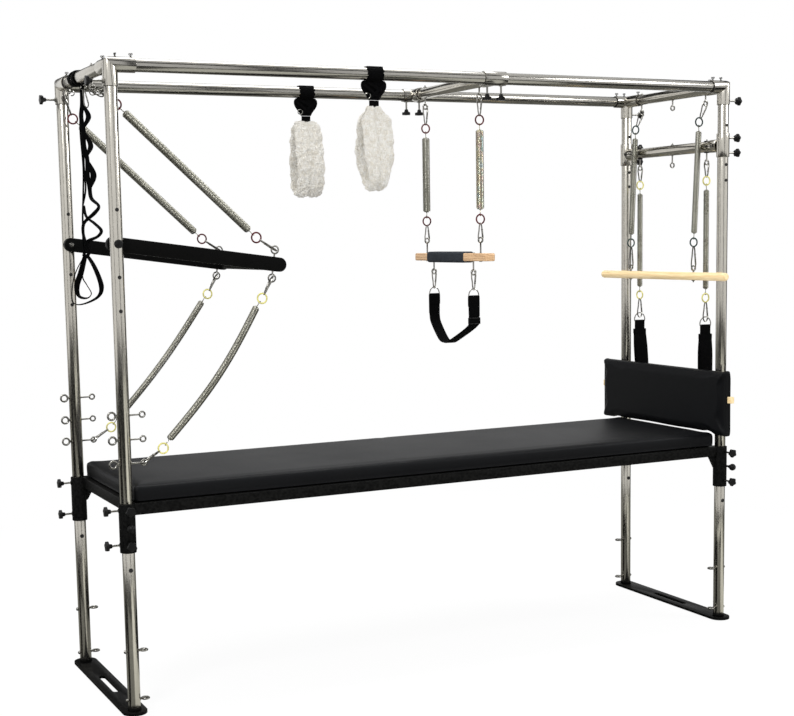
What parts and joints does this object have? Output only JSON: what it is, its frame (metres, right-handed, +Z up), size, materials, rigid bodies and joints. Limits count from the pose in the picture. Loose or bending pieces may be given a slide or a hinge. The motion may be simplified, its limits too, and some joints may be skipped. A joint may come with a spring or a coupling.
{
  "type": "pilates trapeze table",
  "caption": "Padded exercise table in a steel tube frame with a hinged push bar, sliding trapeze, cross bars, springs, loops and hanging straps.",
  "frame": {"origin": "on the floor, midway between the four posts", "axes": "+X along the bed towards the end with the back pad and the height-adjustable bar, +Y across the bed, +Z up"},
  "size_m": [2.579, 0.86, 2.1272],
  "materials": {
    "polished_steel": "polished stainless steel tube",
    "black_powder_coat": "satin black powder coat",
    "black_plastic": "moulded black plastic on a steel stud",
    "black_vinyl": "soft black vinyl over foam and plywood",
    "zinc_spring": "zinc-plated spring wire with coloured end rings",
    "beech": "clear-lacquered pale hardwood",
    "oak": "clear-lacquered coarse-grained hardwood",
    "grip_foam": "dark grey foam grip",
    "black_webbing": "woven black webbing with bright rings",
    "cream_fleece": "cream fleece over padding"
  },
  "bodies": {
    "frame": {"foot_plate_left": "black_powder_coat", "foot_plate_right": "black_powder_coat", "bed_frame": "black_powder_coat", "mattress": "black_vinyl", "back_pad": "black_vinyl", "pad_batten": "beech", "top_cross_tube_left": "polished_steel", "top_cross_tube_right": "polished_steel", "leg_left_front": "polished_steel", "post_left_front": "polished_steel", "corner_left_front": "polished_steel", "leg_left_rear": "polished_steel", "post_left_rear": "polished_steel", "corner_left_rear": "polished_steel", "leg_right_front": "polished_steel", "post_right_front": "polished_steel", "corner_right_front": "polished_steel", "leg_right_rear": "polished_steel", "post_right_rear": "polished_steel", "corner_right_rear": "polished_steel", "top_rail_front": "polished_steel", "pivot_bolt_front": "black_plastic", "upper_push_spring_front": "zinc_spring", "lower_push_spring_front": "zinc_spring", "top_rail_rear": "polished_steel", "pivot_bolt_rear": "black_plastic", "upper_push_spring_rear": "zinc_spring", "lower_push_spring_rear": "zinc_spring"},
    "push_bar": {"push_bar": "black_powder_coat"},
    "slide_bar": {"slide_bar_tube": "polished_steel", "slide_bar_sleeve_front": "polished_steel", "slide_bar_sleeve_rear": "polished_steel"},
    "trapeze_springs": {"trapeze_spring_front": "zinc_spring", "trapeze_spring_rear": "zinc_spring"},
    "trapeze_bar": {"trapeze_bar": "oak", "trapeze_grip": "grip_foam"},
    "sling": {"trapeze_sling": "black_webbing"},
    "height_bar": {"height_bar_tube": "polished_steel", "height_bar_sleeve_front": "polished_steel", "height_bar_sleeve_rear": "polished_steel"},
    "roll_down_springs": {"roll_down_spring_front": "zinc_spring", "roll_down_spring_rear": "zinc_spring"},
    "roll_down_bar": {"roll_down_bar": "beech"},
    "hanging_straps": {"hanging_straps": "black_webbing"},
    "strap_spring_front": {"strap_spring_front": "zinc_spring"},
    "strap_loop_front": {"strap_loop_front": "black_webbing"},
    "fleece_hanger_front": {"fleece_hanger_front": "black_webbing"},
    "fleece_loop_front": {"fleece_loop_front": "cream_fleece"},
    "slide_bar_knob_front_1": {"slide_bar_knob_front_1": "black_plastic"},
    "height_bar_knob_front_1": {"height_bar_knob_front_1": "black_plastic"},
    "slide_bar_knob_front_2": {"slide_bar_knob_front_2": "black_plastic"},
    "height_bar_knob_front_2": {"height_bar_knob_front_2": "black_plastic"},
    "strap_spring_rear": {"strap_spring_rear": "zinc_spring"},
    "strap_loop_rear": {"strap_loop_rear": "black_webbing"},
    "fleece_hanger_rear": {"fleece_hanger_rear": "black_webbing"},
    "fleece_loop_rear": {"fleece_loop_rear": "cream_fleece"},
    "slide_bar_knob_rear_1": {"slide_bar_knob_rear_1": "black_plastic"},
    "height_bar_knob_rear_1": {"height_bar_knob_rear_1": "black_plastic"},
    "slide_bar_knob_rear_2": {"slide_bar_knob_rear_2": "black_plastic"},
    "height_bar_knob_rear_2": {"height_bar_knob_rear_2": "black_plastic"}
  },
  "joints": [
    {"name": "push_bar_swing", "type": "hinge", "parent": "frame", "child": "push_bar", "pos_m": [-1.21, 0, 1.541], "axis": [0, 1, 0], "range_deg": [-20, 20], "stiffness_Nm_per_rad": 60, "springref_deg": -17.35, "deforming": ["upper_push_spring_front", "upper_push_spring_rear", "lower_push_spring_front", "lower_push_spring_rear"]},
    {"name": "slide_bar_slide", "type": "slide", "parent": "frame", "child": "slide_bar", "axis": [1, 0, 0], "range_m": [-0.3, 0.85]},
    {"name": "trapeze_swing", "type": "hinge", "parent": "slide_bar", "child": "trapeze_springs", "pos_m": [0.185, 0, 2.05], "axis": [0, 1, 0], "range_deg": [-20, 20]},
    {"name": "trapeze_drop", "type": "slide", "parent": "trapeze_springs", "child": "trapeze_bar", "axis": [0, 0, -1], "range_m": [0, 0.25], "stiffness_N_per_m": 250, "springref_m": -0.02905, "deforming": ["trapeze_spring_front", "trapeze_spring_rear"]},
    {"name": "sling_swing", "type": "hinge", "parent": "trapeze_bar", "child": "sling", "pos_m": [0.185, 0, 1.413], "axis": [0, 1, 0], "range_deg": [-30, 30]},
    {"name": "height_bar_slide", "type": "slide", "parent": "frame", "child": "height_bar", "axis": [0, 0, 1], "range_m": [-0.15, 0.03]},
    {"name": "strap_swing_front", "type": "hinge", "parent": "height_bar", "child": "strap_spring_front", "pos_m": [1.21, -0.22, 1.82], "axis": [0, 1, 0], "range_deg": [-60, 0]},
    {"name": "strap_drop_front", "type": "slide", "parent": "strap_spring_front", "child": "strap_loop_front", "axis": [0, 0, -1], "range_m": [0, 0.15], "stiffness_N_per_m": 250, "springref_m": -0.00097, "deforming": ["strap_spring_front"]},
    {"name": "strap_swing_rear", "type": "hinge", "parent": "height_bar", "child": "strap_spring_rear", "pos_m": [1.21, 0.22, 1.82], "axis": [0, 1, 0], "range_deg": [-60, 0]},
    {"name": "strap_drop_rear", "type": "slide", "parent": "strap_spring_rear", "child": "strap_loop_rear", "axis": [0, 0, -1], "range_m": [0, 0.15], "stiffness_N_per_m": 250, "springref_m": -0.00097, "deforming": ["strap_spring_rear"]},
    {"name": "roll_down_swing", "type": "hinge", "parent": "frame", "child": "roll_down_springs", "pos_m": [1.21, 0, 2.05], "axis": [0, 1, 0], "range_deg": [0, 60]},
    {"name": "roll_down_drop", "type": "slide", "parent": "roll_down_springs", "child": "roll_down_bar", "axis": [-0.078, 0, -0.9969], "range_m": [0, 0.3], "stiffness_N_per_m": 250, "springref_m": -0.01505, "deforming": ["roll_down_spring_front", "roll_down_spring_rear"]},
    {"name": "fleece_slide_front", "type": "slide", "parent": "frame", "child": "fleece_hanger_front", "axis": [1, 0, 0], "range_m": [-0.15, 0.1]},
    {"name": "fleece_swing_front", "type": "hinge", "parent": "fleece_hanger_front", "child": "fleece_loop_front", "pos_m": [-0.291, -0.318, 2], "axis": [1, 0, 0], "range_deg": [-25, 25]},
    {"name": "fleece_slide_rear", "type": "slide", "parent": "frame", "child": "fleece_hanger_rear", "axis": [1, 0, 0], "range_m": [-0.15, 0.1]},
    {"name": "fleece_swing_rear", "type": "hinge", "parent": "fleece_hanger_rear", "child": "fleece_loop_rear", "pos_m": [-0.275, 0.318, 2], "axis": [1, 0, 0], "range_deg": [-25, 25]},
    {"name": "hanging_straps_swing", "type": "hinge", "parent": "frame", "child": "hanging_straps", "pos_m": [-1.21, 0.1, 2.102], "axis": [0, 1, 0], "range_deg": [-15, 15]},
    {"name": "slide_bar_knob_turn_front_1", "type": "hinge", "parent": "slide_bar", "child": "slide_bar_knob_front_1", "pos_m": [0.1565, -0.318, 2.032], "axis": [0, 0, -1], "range_deg": [0, 360]},
    {"name": "height_bar_knob_turn_front_1", "type": "hinge", "parent": "height_bar", "child": "height_bar_knob_front_1", "pos_m": [1.28, -0.318, 1.8515], "axis": [1, 0, 0], "range_deg": [0, 360]},
    {"name": "slide_bar_knob_turn_front_2", "type": "hinge", "parent": "slide_bar", "child": "slide_bar_knob_front_2", "pos_m": [0.2135, -0.318, 2.032], "axis": [0, 0, -1], "range_deg": [0, 360]},
    {"name": "height_bar_knob_turn_front_2", "type": "hinge", "parent": "height_bar", "child": "height_bar_knob_front_2", "pos_m": [1.28, -0.318, 1.9085], "axis": [1, 0, 0], "range_deg": [0, 360]},
    {"name": "slide_bar_knob_turn_rear_1", "type": "hinge", "parent": "slide_bar", "child": "slide_bar_knob_rear_1", "pos_m": [0.1565, 0.318, 2.032], "axis": [0, 0, -1], "range_deg": [0, 360]},
    {"name": "height_bar_knob_turn_rear_1", "type": "hinge", "parent": "height_bar", "child": "height_bar_knob_rear_1", "pos_m": [1.28, 0.318, 1.8515], "axis": [1, 0, 0], "range_deg": [0, 360]},
    {"name": "slide_bar_knob_turn_rear_2", "type": "hinge", "parent": "slide_bar", "child": "slide_bar_knob_rear_2", "pos_m": [0.2135, 0.318, 2.032], "axis": [0, 0, -1], "range_deg": [0, 360]},
    {"name": "height_bar_knob_turn_rear_2", "type": "hinge", "parent": "height_bar", "child": "height_bar_knob_rear_2", "pos_m": [1.28, 0.318, 1.9085], "axis": [1, 0, 0], "range_deg": [0, 360]}
  ]
}
